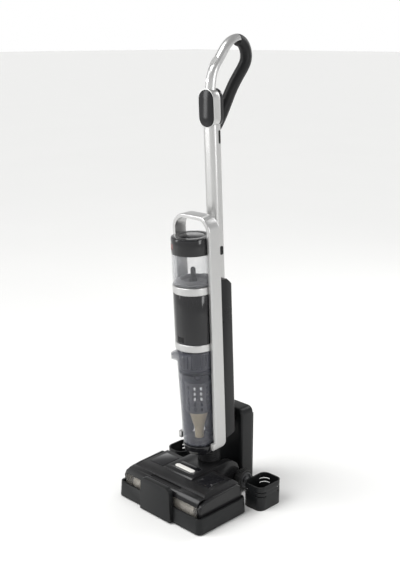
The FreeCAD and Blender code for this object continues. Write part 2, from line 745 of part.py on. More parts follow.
def make_column():
    half = S.column_half_width
    outer = extruded("yz", [
        (24.0, 60.0), (58.0, 68.0), (S.column_rear, 78.0), (S.column_rear, 444.0), (41.0, S.column_top),
        (S.column_front, S.column_top), (S.column_front, 76.0),
    ], -half, half * 2)
    fillet(outer, 10.0, lambda e: e.Length > 300 and e.BoundBox.YMin > 50)
    fillet(outer, 5.0, lambda e: e.BoundBox.XLength < 0.1 and e.BoundBox.ZMax < 80 and e.BoundBox.YMax < 59)
    hollow = box(-half + 2.5, half - 2.5, S.column_front + 2.5, S.column_rear - 2.5, 82.0, 414.0)
    window = box(-26.0, 26.0, S.column_rear - 4, S.column_rear + 2, 96.0, 400.0)
    socket = stick_section(0.3, 416.0, 470.0)
    finish(cut(outer, hollow, window, socket), "column_shell", MACHINE)
    plate = rounded(box(-25.7, 25.7, S.column_rear - 2.5, S.column_rear - 0.2, 96.3, 399.7), 3.0, along("y"))
    back = (S.column_rear - 4, S.column_rear + 2)
    vents = [box(-16.0, 16.0, *back, 352 + 7.0 * i, 355 + 7.0 * i) for i in range(6)]
    finish(cut(plate, *vents), "column_back_cover", MACHINE)
    cells = [
        cylinder(9.2, z, z + 66.0, (x, 40.0))
        for z in (130.0, 198.0)
        for x in (-20.0, 0.0, 20.0)
    ]
    wrap = [box(-30.0, 30.0, 28.0, 52.0, z, z + 3.0) for z in (128.0, 195.5, 263.0)]
    finish(fuse(*cells, *wrap), "battery_pack", MACHINE)
    board = box(-28.0, 28.0, 44.0, 45.6, 285.0, 400.0)
    parts = [box(-20.0, -8.0, 38.0, 44.2, 300.0, 316.0), cylinder(5.0, 330.0, 346.0, (10.0, 39.2)),
             box(-4.0, 18.0, 40.0, 44.2, 360.0, 372.0)]
    finish(fuse(board, *parts), "circuit_board", MACHINE)
    pump = fuse(cylinder(13.0, 90.0, 112.0, (0.0, 40.0)), box(-15.0, 15.0, 27.0, 53.0, 86.0, 92.0),
                cylinder(3.0, 112.0, 122.0, (7.0, 40.0)), cylinder(3.0, 112.0, 122.0, (-7.0, 40.0)))
    finish(pump, "water_pump", MACHINE)


def make_housing():
    low, high, r = S.housing_bottom, S.housing_top, S.tank_radius
    at = (0.0, S.tank_y)
    shell = cut(cylinder(r, low + 0.2, high - 0.2, at), cylinder(r - 2.5, low - 1, high + 1, at))
    bridge = box(-22.0, 22.0, 15.6, S.column_front - 0.2, low + 4, high - 4)
    button_hole = box(-9.4, 9.4, -82.0, -70.0, low + 4.6, low + 17.4)
    vents = [box(-60.0, 60.0, -4.0 - 7 * i, -1.6 - 7 * i, 392.0, 420.0) for i in range(4)]
    finish(cut(fuse(shell, bridge), button_hole, *vents), "motor_housing", MACHINE)
    button = common(box(-9.0, 9.0, -77.6, -72.0, low + 5, low + 17), cylinder(r - 0.4, low, low + 20, at))
    finish(button, "tank_release", MACHINE)
    for name, z0, z1 in (("lower_ring", S.dirty_top + 0.5, low), ("upper_ring", high, S.clean_bottom - 0.3)):
        ring = rounded(cylinder(r + 0.6, z0, z1, at), 2.0, lambda e: e.Curve.TypeId == "Part::GeomCircle")
        lugs = [box(x - 2.1, x + 2.1, -24.0, -8.0, z0 + 3, z1 - 3) for x in (-47.8, 47.8)]
        tail = box(-20.0, 20.0, 10.0, S.column_front - 0.2, z0 + 2, z1 - 2)
        finish(cut(fuse(ring, *lugs, tail), cylinder(26.0, z0 - 1, z1 + 1, at)), name, MACHINE)
    can = fuse(cylinder(30.0, 368.0, 430.0, at), cylinder(12.0, 362.0, 370.0, at))
    shaft = cylinder(3.0, 338.0, 364.0, at)
    arms = [box(-45.3, 45.3, -34.0, -26.0, 400.0, 408.0), box(-4.0, 4.0, -75.3, 15.3, 400.0, 408.0)]
    motor = fuse(can, shaft, *arms)
    finish(motor, "suction_motor", MACHINE)
    disc = fuse(cylinder(29.0, 354.0, 356.0, at), cylinder(7.0, 342.0, 358.0, at))
    blades = []
    for i in range(9):
        blade = doc.addObject("Part::Box", unique("Blade"))
        blade.Length, blade.Width, blade.Height = 22.0, 1.4, 9.0
        turn_z = Rotation(Vector(0, 0, 1), 40.0 * i)
        spot = Vector(0, SIZES["tank_y"], 346.0) + turn_z.multVec(Vector(6.0, 3.0, 0))
        blade.Placement = Placement(spot, turn_z)
        blades.append(blade)
    finish(cut(fuse(disc, *blades), cylinder(3.05, 330.0, 365.0, at)), "impeller", MACHINE)


def make_side_frame():
    """The silver arch that runs up one side, over the lid and down the other."""
    half = S.arch_half_width + S.arch_thickness / 2
    inner = half - S.arch_thickness
    y0, y1 = S.arch_y - S.arch_depth / 2, S.arch_y + S.arch_depth / 2
    upper = {"chosen": lambda e: along("y")(e) and e.BoundBox.ZMin > 600}
    outside = rounded(box(-half, half, y0, y1, S.arch_bottom, S.arch_top), 36.0, **upper)
    opening = box(-inner, inner, y0 - 5, y1 + 5, S.arch_bottom - 5, S.arch_top - S.arch_thickness)
    inside = rounded(opening, 27.0, **upper)
    feet = [box(x - 4.5, x + 4.5, y0 - 10, y0 + 2, 62.0, 78.0) for x in (-54.5, 54.5)]
    arch = fuse(cut(outside, inside), *feet)
    arch = rounded(arch, 14.0, lambda e: along("x")(e) and e.BoundBox.ZMax < 63 and e.BoundBox.YMin > -5)
    arch = rounded(arch, 3.0, lambda e: along("z", 100.0)(e) and abs(e.BoundBox.XMin) > 58)
    finish(arch, "side_frame", MACHINE)


def make_clean_tank():
    at_y = S.tank_y
    tank = revolved([
        (0.0, S.clean_bottom), (44.0, S.clean_bottom), (47.5, S.clean_bottom + 4), (47.5, S.clean_top),
        (45.5, S.clean_top), (45.5, S.clean_bottom + 6),
        (43.0, S.clean_bottom + 2.2), (0.0, S.clean_bottom + 2.2),
    ], 0.0, at_y)
    hinge = (19.6, 540.2)
    lugs = []
    for x in (-12.4, 9.4):
        lugs.append(box(x, x + 3, 15.2, 21.8, 530.0, 538.0))
        lugs.append(box(x, x + 3, 17.4, 21.8, 538.0, 540.2))
        lugs.append(cylinder(2.2, x, x + 3, hinge, "x"))
    hinge_pin = cylinder(1.0, -12.0, 12.0, hinge, "x")
    finish(fuse(tank, *lugs, hinge_pin), "clean_tank", MACHINE)
    valve = revolved([
        (0.0, 466.8), (9.0, 466.8), (9.0, 476.0), (6.0, 480.0), (6.0, 498.0), (3.0, 502.0), (0.0, 502.0),
    ], 0.0, at_y)
    finish(valve, "tank_valve", MACHINE)
    low, top = S.clean_top + 0.4, S.lid_top
    lid = revolved([
        (0.0, top - 2.8), (0.0, top), (44.0, top), (46.8, top - 1.2), (47.8, top - 4),
        (47.8, low), (45.4, low), (45.4, top - 5), (43.6, top - 2.8),
    ], 0.0, at_y)
    rim = cylinder(30.0, S.lid_top - 1.2, S.lid_top + 1, (0.0, S.tank_y))
    rim_in = cylinder(28.8, S.lid_top - 2, S.lid_top + 2, (0.0, S.tank_y))
    notch = box(-34.0, -17.3, -80.0, -60.0, 548.0, 561.0)
    barrel = fuse(cylinder(2.2, -9.0, 9.0, hinge, "x"), box(-9.0, 9.0, 16.4, 19.0, 538.6, 542.2))
    bore = cylinder(1.05, -10.0, 10.0, hinge, "x")
    finish(cut(fuse(lid, barrel), cut(rim, rim_in), notch, bore), "clean_tank_lid", MACHINE)
    latch_block = box(-33.5, -18.5, -76.0, -65.0, 548.5, 560.5)
    latch = common(latch_block, cylinder(47.0, 540.0, 570.0, (0.0, S.tank_y)))
    finish(latch, "lid_latch", MACHINE)


def make_dirty_tank():
    low, top = S.dirty_bottom, S.dirty_top
    tank = revolved([
        (0.0, low), (36.0, low), (39.0, low + 3), (47.0, top),
        (45.0, top), (37.2, low + 5), (35.0, low + 2.2), (0.0, low + 2.2),
    ], 0.0, S.tank_y)
    lip = common(
        extruded("yz", [(-58.0, 276.0), (-91.5, 292.0), (-93.5, 304.0), (-58.0, 307.5)], -27.0, 54.0),
        rounded(box(-27.0, 27.0, -93.5, -50.0, 270.0, 312.0), 14.0, along("z")),
    )
    scoop = common(
        extruded("yz", [(-58.0, 279.0), (-89.0, 294.0), (-91.0, 302.0), (-58.0, 304.5)], -24.6, 49.2),
        rounded(box(-24.6, 24.6, -91.1, -50.0, 270.0, 312.0), 12.0, along("z")),
    )
    inside = cone(38.0, 44.9, low + 5, top, (0.0, S.tank_y))
    finish(cut(fuse(tank, cut(lip, inside)), scoop), "dirty_tank", MACHINE)
    at = (0.0, S.tank_y)
    pipe = cut(cylinder(11.0, low + 2.4, 150.0, at), cylinder(9.0, low + 2.0, 152.0, at))
    duct = cut(cone(11.0, 24.0, 100.0, 150.0, at), cylinder(9.0, 98.0, 152.0, at))
    finish(fuse(pipe, duct), "standpipe", MACHINE)
    drum = cut(cylinder(31.0, 150.2, 226.0, at), cylinder(29.4, 152.0, 224.0, at))
    slots = []
    for row in range(5):
        for i in range(6):
            slot = doc.addObject("Part::Box", unique("Slot"))
            slot.Length, slot.Width, slot.Height = 80.0, 6.0, 9.0
            turn_z = Rotation(Vector(0, 0, 1), 30.0 * i)
            spot = Vector(0, SIZES["tank_y"], 156.0 + 13.5 * row) + turn_z.multVec(Vector(-40.0, -3.0, 0))
            slot.Placement = Placement(spot, turn_z)
            slots.append(slot)
    finish(cut(drum, *slots), "mesh_basket", MACHINE)
    body = cylinder(41.5, 262.0, 305.0, at)
    pleats = []
    for i in range(24):
        pleat = doc.addObject("Part::Box", unique("Pleat"))
        pleat.Length, pleat.Width, pleat.Height = 8.0, 3.0, 34.0
        turn_z = Rotation(Vector(0, 0, 1), 15.0 * i)
        spot = Vector(0, SIZES["tank_y"], 266.0) + turn_z.multVec(Vector(36.0, -1.5, 0))
        pleat.Placement = Placement(spot, turn_z)
        pleats.append(pleat)
    stem = cylinder(8.0, 226.4, 264.0, at)
    finish(cut(fuse(body, stem), cylinder(20.0, 268.0, 307.0, at), *pleats), "tank_filter", MACHINE)


# ---- stick, pod and handle ----

LOOP = [
    (46.5, 886.0), (49.0, 905.0), (57.0, 928.0), (78.0, 953.0), (104.0, 980.0), (134.0, 990.5), (158.0, 975.0),
    (163.0, 950.0), (143.0, 920.0), (114.0, 887.0), (90.0, 851.0), (70.0, 822.0), (54.0, 804.0),
]
CROWN = 5


def spline(points):
    curve = Part.BSplineCurve()
    curve.interpolate([Vector(y, z, 0) for y, z in points])
    return curve


def limb(points, start_normal_turn):
    """A round tube swept along a spline in the middle plane."""
    body = new_body()
    path = new_sketch(body, "yz")
    path.addGeometry(spline(points), False)
    section = new_sketch(body, "xy")
    y, z = points[0]
    section.AttachmentOffset = Placement(Vector(0, y, z), Rotation(Vector(1, 0, 0), start_normal_turn))
    circle(section, 0.0, 0.0, S.grip_radius)
    doc.recompute()
    sweep = body.newObject("PartDesign::AdditivePipe", unique("Sweep"))
    sweep.Profile = section
    sweep.Spine = path
    doc.recompute()
    return body


def pill(margin, y0, y1):
    """The pod's upright pill shape, grown by a margin."""
    half = S.pod_half_width + margin
    block = box(-half, half, y0, y1, S.pod_bottom - margin, S.pod_top + margin)
    return rounded(block, SIZES["pod_half_width"] + margin - 0.05, along("y"))


def on_handle(item, y, z, tilt):
    """Stands a small part square to the handle's surface."""
    item.Placement = Placement(Vector(0, y, z), Rotation(Vector(1, 0, 0), tilt)).multiply(item.Placement)
    return item


def stadium(half_x, half_y, z0, z1):
    radius = min(half_x, half_y) - 0.05
    return rounded(box(-half_x, half_x, -half_y, half_y, z0, z1), radius, along("z"))


def make_stick():
    outside = stick_section(0.0, S.stick_bottom, S.stick_top)
    tube = cut(outside, stick_section(-1.6, S.stick_bottom - 1, S.stick_top + 1))
    button_hole = rounded(box(14.0, 25.0, 40.6, 51.4, 516.6, 537.4), 4.0, along("x"))
    finish(cut(tube, button_hole), "stick_tube", MACHINE)
    finish(rounded(box(16.4, 19.0, 41.0, 51.0, 517.0, 537.0), 3.6, along("x")), "stick_button", MACHINE)


def make_pod():
    y0, y1 = S.pod_front, S.pod_rear
    seat = stick_section(0.05, 800.0, S.stick_top + 0.1)
    rim = cut(pill(0.0, y0, y0 + 20), pill(-2.2, y0 - 1, y0 + 18), seat)
    finish(rim, "pod_rim", MACHINE)
    finish(cut(pill(-2.4, y0 - 1.5, y0 + 1.5), seat), "pod_lens", MACHINE)
    finish(cut(pill(-0.6, y0 + 20, y1), seat), "pod_back", MACHINE)


def make_handle():
    power_spot, mode_spot = (67.0, 940.5, 46.0), (49.5, 906.0, 74.0)
    front = limb(LOOP[:CROWN + 1], -5.0)
    rear = limb(LOOP[CROWN:], -90.0)
    inside = new_body()
    outline = new_sketch(inside, "yz", -20.0)
    outline.addGeometry(spline(LOOP[:CROWN + 1]), False)
    far, first = Vector(*LOOP[CROWN], 0), Vector(*LOOP[0], 0)
    corner = Vector(LOOP[CROWN][0], LOOP[0][1] - 20, 0)
    low = Vector(LOOP[0][0], LOOP[0][1] - 20, 0)
    for a, b in ((far, corner), (corner, low), (low, first)):
        outline.addGeometry(Part.LineSegment(a, b), False)
    pad(inside, outline, 40.0)
    pod_block = pill(0.0, S.pod_front - 2, S.pod_rear)
    stick_block = stick_section(0.05, 790.0, S.stick_top + 0.1)
    power_hole = on_handle(stadium(6.4, 12.4, 4.0, 20.0), *power_spot)
    mode_hole = on_handle(cylinder(4.4, 4.0, 20.0, (0.0, 0.0)), *mode_spot)
    finish(cut(front, inside, rear, pod_block, power_hole, mode_hole), "handle_cover", MACHINE)
    liner = cut(common(front, inside), pod_block)
    rear_limb = cut(rear, pod_block, stick_block)
    finish(fuse(liner, rear_limb), "handle_grip", MACHINE)
    finish(on_handle(stadium(6.0, 12.0, 7.5, 14.6), *power_spot), "power_button", MACHINE)
    finish(on_handle(cylinder(4.0, 7.5, 14.2, (0.0, 0.0)), *mode_spot), "mode_button", MACHINE)


# ---- build, check and write ----

def build_all():
    make_tray()
    make_tower()
    make_dock_small_parts()
    make_chassis()
    make_cover()
    make_light_bar()
    make_roller_cover()
    make_roller()
    make_belt()
    make_head_small_parts()
    for side in (1, -1):
        make_basket(side)
        make_side_cap(side)
        make_wheel(side)
    make_neck()
    make_base()
    make_column()
    make_housing()
    make_side_frame()
    make_clean_tank()
    make_dirty_tank()
    make_stick()
    make_pod()
    make_handle()


def check_and_write():
    doc.recompute()
    faults = [item.Name for item in doc.Objects if "Invalid" in item.State or "Error" in item.State]
    for node, item in nodes.items():
        shape = item.Shape
        if shape.isNull() or not shape.isValid() or not shape.Solids:
            faults.append(node)
    if faults:
        raise RuntimeError("these did not build: %s" % ", ".join(faults))
    for node, item in nodes.items():
        item.Shape.exportStep(os.path.join(OUT, node + ".step"))
    whole = Part.makeCompound([item.Shape for item in nodes.values()]).optimalBoundingBox(False, False)
    print("nodes %d" % len(nodes))
    print("box x %.2f %.2f y %.2f %.2f z %.2f %.2f" % (
        whole.XMin, whole.XMax, whole.YMin, whole.YMax, whole.ZMin, whole.ZMax))


build_all()
check_and_write()
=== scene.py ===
import logging
import math
from dataclasses import dataclass, field
from enum import Enum
from typing import Any, Callable, Iterable, Sequence

import bmesh
import bpy
from mathutils import Matrix, Vector


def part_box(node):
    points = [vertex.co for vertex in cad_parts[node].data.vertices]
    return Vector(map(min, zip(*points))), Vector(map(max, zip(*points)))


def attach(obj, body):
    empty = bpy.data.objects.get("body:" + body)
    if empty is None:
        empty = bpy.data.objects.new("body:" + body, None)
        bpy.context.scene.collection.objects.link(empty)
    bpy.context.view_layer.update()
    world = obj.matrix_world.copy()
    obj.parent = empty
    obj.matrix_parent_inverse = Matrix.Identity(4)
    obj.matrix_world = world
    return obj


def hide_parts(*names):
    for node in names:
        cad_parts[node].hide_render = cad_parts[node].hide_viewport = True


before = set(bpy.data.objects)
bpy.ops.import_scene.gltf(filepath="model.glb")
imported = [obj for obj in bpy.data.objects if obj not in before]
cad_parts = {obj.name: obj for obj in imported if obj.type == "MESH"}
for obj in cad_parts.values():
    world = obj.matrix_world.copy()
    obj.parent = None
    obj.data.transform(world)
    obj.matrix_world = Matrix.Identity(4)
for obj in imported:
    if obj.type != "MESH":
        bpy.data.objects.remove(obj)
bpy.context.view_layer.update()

logging.basicConfig(level=logging.INFO, format="%(message)s")
log = logging.getLogger("scrubber")

Colour = tuple[float, float, float]
Point = tuple[float, float, float]
MM = 0.001


class Body(str, Enum):
    """The CAD bodies that visual pieces ride on."""

    DOCK = "dock"
    LEFT_BASKET = "left_basket"
    RIGHT_BASKET = "right_basket"
    HEAD = "head"
    ROLLER = "roller"
    LEFT_WHEEL = "left_wheel"
    RIGHT_WHEEL = "right_wheel"
    NECK = "neck"
    MACHINE = "machine"
    CLEAN = "clean_water"
    DIRTY = "dirty_water"
    LID = "lid"
    STICK = "stick"


class Frames:
    """Turns positions in the dock's and the leaning machine's own frames into the row frame."""

    PANEL_STANDOFF = 8.0
    LEAN_DEGREES = 2.9
    NECK_BACK = 0.175
    NECK_HEIGHT = 0.080

    def __init__(self) -> None:
        tray_low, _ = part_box("dock_tray")
        self.front = tray_low.y + self.PANEL_STANDOFF * MM
        self.lean = math.radians(self.LEAN_DEGREES)
        yoke_low, yoke_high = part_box("neck_yoke")
        self.pivot = Vector((0.0, self.front + self.NECK_BACK, self.NECK_HEIGHT))
        log.info("neck between %.3f and %.3f m", yoke_low.z, yoke_high.z)

    def dock(self, x: float, y: float, z: float) -> Vector:
        """Gives a dock point in the row frame.

        Args:
            x: Millimetres to the side.
            y: Millimetres back from the tray's front.
            z: Millimetres above the floor.

        Returns:
            The point in metres.
        """
        return Vector((x * MM, self.front + y * MM, z * MM))

    def machine_matrix(self) -> Matrix:
        """Gives the matrix from the machine's own frame, in metres, to the row frame.

        Returns:
            The 4x4 matrix.
        """
        return Matrix.Translation(self.pivot) @ Matrix.Rotation(self.lean, 4, "X")


class Wire:
    """A shader socket that can be used in Python sums."""

    def __init__(self, graph: "Graph", socket: Any) -> None:
        self.graph = graph
        self.socket = socket

    def _math(self, operation: str, *values: Any) -> "Wire":
        return self.graph.add("ShaderNodeMath", {"operation": operation}, *values)

    def __add__(self, other: Any) -> "Wire":
        return self._math("ADD", self, other)

    def __radd__(self, other: Any) -> "Wire":
        return self._math("ADD", other, self)

    def __sub__(self, other: Any) -> "Wire":
        return self._math("SUBTRACT", self, other)

    def __rsub__(self, other: Any) -> "Wire":
        return self._math("SUBTRACT", other, self)

    def __mul__(self, other: Any) -> "Wire":
        return self._math("MULTIPLY", self, other)

    def __rmul__(self, other: Any) -> "Wire":
        return self._math("MULTIPLY", other, self)

    def __truediv__(self, other: Any) -> "Wire":
        return self._math("DIVIDE", self, other)

    def __pow__(self, other: Any) -> "Wire":
        return self._math("POWER", self, other)

    def between(self, low: float, high: float) -> "Wire":
        """Ramps smoothly from 0 at low to 1 at high.

        Args:
            low: The value that gives 0.
            high: The value that gives 1.

        Returns:
            The ramped value.
        """
        return self.graph.add(
            "ShaderNodeMapRange", {"interpolation_type": "SMOOTHSTEP", "clamp": True},
            self, low, high, 0.0, 1.0
        )


class Graph:
    """Builds one material's node tree."""

    def __init__(self, name: str) -> None:
        self.material = bpy.data.materials.new(name)
        self.material.use_nodes = True
        self.tree = self.material.node_tree
        self.shader = next(n for n in self.tree.nodes if n.bl_idname == "ShaderNodeBsdfPrincipled")
        self._coordinates = self.tree.nodes.new("ShaderNodeTexCoord")

    def add(
        self, kind: str, settings: dict[str, Any], *values: Any, output: int | str = 0, **named: Any
    ) -> Wire:
        """Adds a node, sets it up and feeds its sockets.

        Args:
            kind: The node's type.
            settings: Its own settings, set before its sockets.
            values: Values or wires for the first sockets, in order.
            output: The output wanted.
            named: Values or wires for sockets by name, with spaces as underscores.

        Returns:
            A wire from the chosen output.
        """
        node = self.tree.nodes.new(kind)
        for key, value in settings.items():
            if key == "stops":
                for stop in range(len(value) - 2):
                    node.color_ramp.elements.new(0.5)
                for element, (place, colour) in zip(node.color_ramp.elements, value):
                    element.position = place
                    element.color = (*colour, 1.0)
            else:
                setattr(node, key, value)
        pairs = list(zip(node.inputs, values))
        pairs += [(node.inputs[key.replace("_", " ")], value) for key, value in named.items()]
        for socket, value in pairs:
            self.feed(socket, value)
        return Wire(self, node.outputs[output])

    def feed(self, socket: Any, value: Any) -> None:
        """Links a wire to a socket, or sets the socket's value.

        Args:
            socket: The node input.
            value: A wire or a plain value.
        """
        if isinstance(value, Wire):
            self.tree.links.new(value.socket, socket)
        elif value is not None:
            socket.default_value = value

    def place(self) -> Wire:
        """Gives the surface point on the piece itself.

        Returns:
            The Object coordinate.
        """
        return Wire(self, self._coordinates.outputs["Object"])

    def axes(self) -> tuple[Wire, Wire, Wire]:
        """Splits the surface point.

        Returns:
            Its x, y and z, in metres.
        """
        split = self.tree.nodes.new("ShaderNodeSeparateXYZ")
        self.feed(split.inputs[0], self.place())
        return tuple(Wire(self, output) for output in split.outputs)

    def noise(self, scale: float, detail: float = 3.0, stretch: Point = (1, 1, 1)) -> Wire:
        """Adds noise over the surface.

        Args:
            scale: How fine it is, per metre.
            detail: The number of finer layers.
            stretch: Factors along the three axes.

        Returns:
            A value between 0 and 1.
        """
        spot = self.add("ShaderNodeVectorMath", {"operation": "MULTIPLY"}, self.place(), stretch)
        return self.add("ShaderNodeTexNoise", {}, Vector=spot, Scale=scale, Detail=detail, Roughness=0.55)

    def mix(self, factor: Any, first: Any, second: Any) -> Wire:
        """Mixes two colours.

        Args:
            factor: 0 for the first, 1 for the second.
            first: A colour or wire.
            second: A colour or wire.

        Returns:
            The mixed colour.
        """
        node = self.tree.nodes.new("ShaderNodeMix")
        node.data_type = "RGBA"
        sockets = {s.identifier: s for s in node.inputs}
        self.feed(sockets["Factor_Float"], factor)
        for key, value in (("A_Color", first), ("B_Color", second)):
            self.feed(sockets[key], (*value, 1.0) if isinstance(value, tuple) else value)
        return Wire(self, next(o for o in node.outputs if o.identifier == "Result_Color"))

    def bump(self, height: Wire, strength: float, distance: float) -> None:
        """Feeds a height to the shader's normal.

        Args:
            height: The height.
            strength: How strong it shows.
            distance: The real height of a step of 1, in metres.
        """
        normal = self.add("ShaderNodeBump", {}, Strength=strength, Distance=distance, Height=height)
        self.feed(self.shader.inputs["Normal"], normal)

    def set(self, **values: Any) -> None:
        """Sets or links the shader's own sockets.

        Args:
            values: Values by socket name, with spaces as underscores.
        """
        for key, value in values.items():
            if isinstance(value, tuple) and len(value) == 3 and "Color" in key:
                value = (*value, 1.0)
            self.feed(self.shader.inputs[key.replace("_", " ")], value)


@dataclass(frozen=True)
class Plastic:
    """Moulded plastic with a fine grain and a little dust on what faces up."""

    name: str
    colour: Colour
    roughness: float = 0.4
    grain: float = 0.25
    grain_scale: float = 2600.0
    dust: float = 0.05
    dust_colour: Colour = (0.2, 0.19, 0.175)
    coat: float = 0.0
    shine: float = 0.22

    def build(self) -> bpy.types.Material:
        """Makes the material.

        Returns:
            The new material.
        """
        g = Graph(self.name)
        patch = g.noise(14.0, 4.0)
        geometry = g.add("ShaderNodeNewGeometry", {}, output="Normal")
        up = g.tree.nodes.new("ShaderNodeSeparateXYZ")
        g.feed(up.inputs[0], geometry)
        dust = Wire(g, up.outputs[2]).between(0.55, 1.0) * patch.between(0.4, 0.75) * self.dust
        lighter = tuple(min(1.0, c * 1.35 + 0.003) for c in self.colour)
        base = g.mix(patch, self.colour, lighter)
        g.set(
            Base_Color=g.mix(dust, base, self.dust_colour),
            Roughness=self.roughness + (patch - 0.5) * 0.12 + dust * 0.6,
            Coat_Weight=self.coat,
            Coat_Roughness=0.06,
            Specular_IOR_Level=self.shine,
        )
        if self.grain:
            g.bump(g.noise(self.grain_scale, 2.0), self.grain, 0.00012)
        return g.material


@dataclass(frozen=True)
class Gloss:
    """Polished dark plastic under a clear coat, with faint wipe marks."""

    name: str
    colour: Colour
    roughness: float = 0.13
    haze: float = 0.07
    coat: float = 0.25

    def build(self) -> bpy.types.Material:
        """Makes the material.

        Returns:
            The new material.
        """
        g = Graph(self.name)
        smear = g.noise(22.0, 5.0, (1.0, 1.0, 0.35))
        spots = g.noise(260.0, 2.0)
        lighter = tuple(c * 1.5 + 0.002 for c in self.colour)
        g.set(
            Base_Color=g.mix(smear, self.colour, lighter),
            Roughness=self.roughness + smear.between(0.45, 0.8) * self.haze + spots.between(0.62, 0.8) * 0.05,
            Coat_Weight=self.coat,
            Coat_Roughness=0.04,
            Specular_IOR_Level=0.32,
        )
        return g.material


@dataclass(frozen=True)
class Metal:
    """Painted or bare metal with fine flake or brushing."""

    name: str
    colour: Colour
    metallic: float = 0.85
    roughness: float = 0.32
    stretch: Point = (1, 1, 1)
    scale: float = 1800.0

    def build(self) -> bpy.types.Material:
        """Makes the material.

        Returns:
            The new material.
        """
        g = Graph(self.name)
        fine = g.noise(self.scale, 2.0, self.stretch)
        broad = g.noise(11.0, 3.0)
        darker = tuple(c * 0.82 for c in self.colour)
        g.set(
            Base_Color=g.mix(fine.between(0.3, 0.7), darker, self.colour),
            Metallic=self.metallic,
            Roughness=self.roughness + (fine - 0.5) * 0.14 + (broad - 0.5) * 0.08,
        )
        g.bump(fine, 0.12, 0.00008)
        return g.material


@dataclass(frozen=True)
class Clear:
    """Clear or tinted plastic: mostly see-through, with gloss and more tint at grazing angles."""

    name: str
    colour: Colour
    alpha: float = 0.25
    edge_alpha: float = 0.75
    roughness: float = 0.06
    mist: float = 0.05

    def build(self) -> bpy.types.Material:
        """Makes the material.

        Returns:
            The new material.
        """
        g = Graph(self.name)
        facing = g.add("ShaderNodeLayerWeight", {}, Blend=0.28, output="Facing")
        mist = g.noise(35.0, 4.0).between(0.45, 0.8) * self.mist
        lighter = tuple(min(1.0, c * 1.15 + 0.01) for c in self.colour)
        g.set(
            Base_Color=g.mix(mist * 6.0, self.colour, lighter),
            Roughness=self.roughness + mist,
            Alpha=facing * (self.edge_alpha - self.alpha) + self.alpha + mist,
            Coat_Weight=0.5,
            Coat_Roughness=0.03,
        )
        g.material.surface_render_method = "BLENDED"
        return g.material


@dataclass(frozen=True)
class Pile:
    """Short dense microfibre, with painted shade in the hollows between the tufts."""

    name: str
    colour: Colour
    # painted shade: the darker colour that stands in for shade in the hollows between the tufts
    hollow_shade: Colour

    def build(self) -> bpy.types.Material:
        """Makes the material.

        Returns:
            The new material.
        """
        g = Graph(self.name)
        tufts = g.noise(900.0, 3.0)
        rows = g.noise(60.0, 3.0)
        g.set(
            # painted shade: the colour falls to the darker second colour where the tufts are low, between them
            Base_Color=g.mix(tufts.between(0.32, 0.62) * (0.65 + rows * 0.5), self.hollow_shade, self.colour),
            Roughness=0.9 + tufts * 0.08,
            Sheen_Weight=0.3,
        )
        g.bump(tufts, 0.8, 0.0012)
        return g.material


@dataclass(frozen=True)
class Rubber:
    """Dull rubber with fine speckle and scuffs."""

    name: str
    colour: Colour
    roughness: float = 0.72

    def build(self) -> bpy.types.Material:
        """Makes the material.

        Returns:
            The new material.
        """
        g = Graph(self.name)
        scuff = g.noise(120.0, 4.0)
        paler = tuple(c * 1.9 + 0.01 for c in self.colour)
        g.set(
            Base_Color=g.mix(scuff.between(0.5, 0.75), self.colour, paler),
            Roughness=self.roughness + (scuff - 0.5) * 0.2,
        )
        g.bump(g.noise(1500.0, 2.0), 0.3, 0.0002)
        return g.material


@dataclass(frozen=True)
class Floor:
    """A plain pale floor."""

    name: str
    colour: Colour

    def build(self) -> bpy.types.Material:
        """Makes the material.

        Returns:
            The new material.
        """
        g = Graph(self.name)
        cloud = g.noise(1.4, 3.0)
        paler = tuple(min(1.0, c * 1.03) for c in self.colour)
        g.set(Base_Color=g.mix(cloud, self.colour, paler), Roughness=0.5 + cloud * 0.08)
        return g.material


